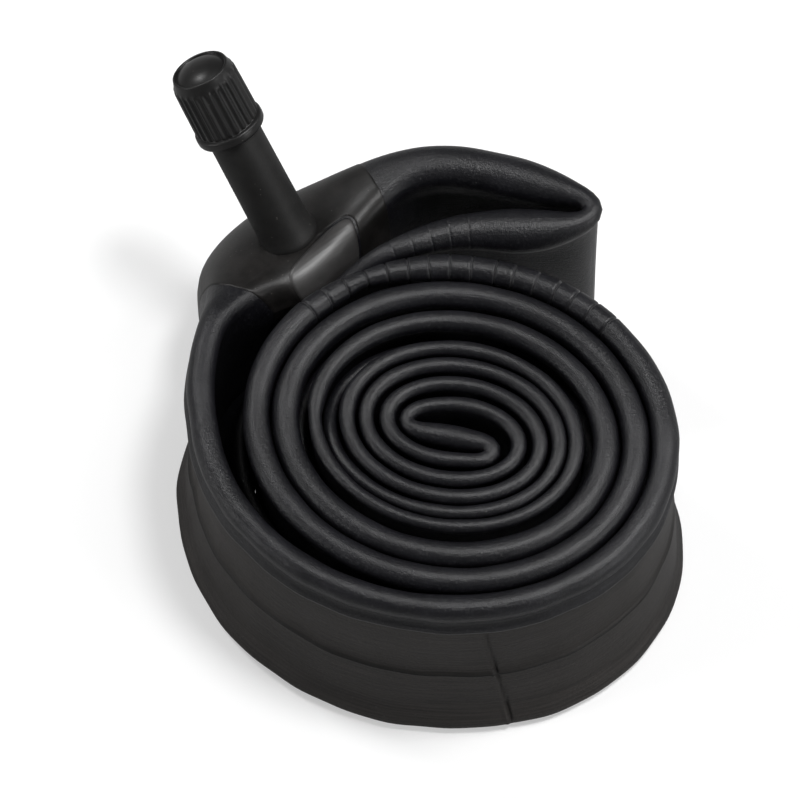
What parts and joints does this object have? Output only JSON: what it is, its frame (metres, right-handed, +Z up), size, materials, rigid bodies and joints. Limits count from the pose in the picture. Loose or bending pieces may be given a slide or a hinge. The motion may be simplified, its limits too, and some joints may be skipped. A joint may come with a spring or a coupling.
{
  "type": "bicycle inner tube",
  "caption": "Bicycle inner tube, deflated, folded flat and rolled up on edge, with a car-type valve, its screwed-in core and a ribbed dust cap.",
  "frame": {"origin": "on the surface the roll stands on, under the middle of the roll's innermost fold", "axes": "+Z up along the roll's height, +Y towards the loop with the valve, +X to the right when that loop is behind"},
  "size_m": [0.0743, 0.0826, 0.0569],
  "materials": {
    "butyl": "satin, dusty moulded butyl",
    "patch": "smooth semi-gloss cured rubber",
    "jacket": "matte",
    "seal": "matte",
    "cap": "satin black",
    "brass": "turned",
    "steel": "drawn wire"
  },
  "bodies": {
    "tube": {"tube_body": "butyl", "valve_patch": "patch", "stem_sleeve": "jacket", "stem_brass": "brass"},
    "cap_lift": {"cap_seal": "seal"},
    "cap": {"cap_shell": "cap"},
    "core_lift": {"core_barrel": "brass", "barrel_gasket": "seal", "core_spring": "steel"},
    "core": {"core_plug": "brass"},
    "pin": {"core_pin": "steel", "pin_stop": "brass", "pin_cup": "brass", "cup_seal": "seal"}
  },
  "joints": [
    {"name": "cap_rise", "type": "slide", "parent": "tube", "child": "cap_lift", "axis": [-0.3834, 0.3994, 0.8327], "range_m": [0, 0.00714]},
    {"name": "cap_turn", "type": "hinge", "parent": "cap_lift", "child": "cap", "pos_m": [-0.0241, 0.0347, 0.0288], "axis": [-0.3834, 0.3994, 0.8327], "range_deg": [0, 3240]},
    {"name": "core_rise", "type": "slide", "parent": "tube", "child": "core_lift", "axis": [-0.3834, 0.3994, 0.8327], "range_m": [0, 0.00141]},
    {"name": "core_turn", "type": "hinge", "parent": "core_lift", "child": "core", "pos_m": [-0.0241, 0.0347, 0.0288], "axis": [-0.3834, 0.3994, 0.8327], "range_deg": [0, 720]},
    {"name": "pin_press", "type": "slide", "parent": "core_lift", "child": "pin", "axis": [0.3834, -0.3994, -0.8327], "range_m": [0, 0.0015], "stiffness_N_per_m": 120, "deforming": ["core_spring"]}
  ],
  "couplings": [
    {"joint": "cap_turn", "follows": "cap_rise", "rad_per_m": 7915.8},
    {"joint": "core_turn", "follows": "core_rise", "rad_per_m": 8905.2}
  ]
}
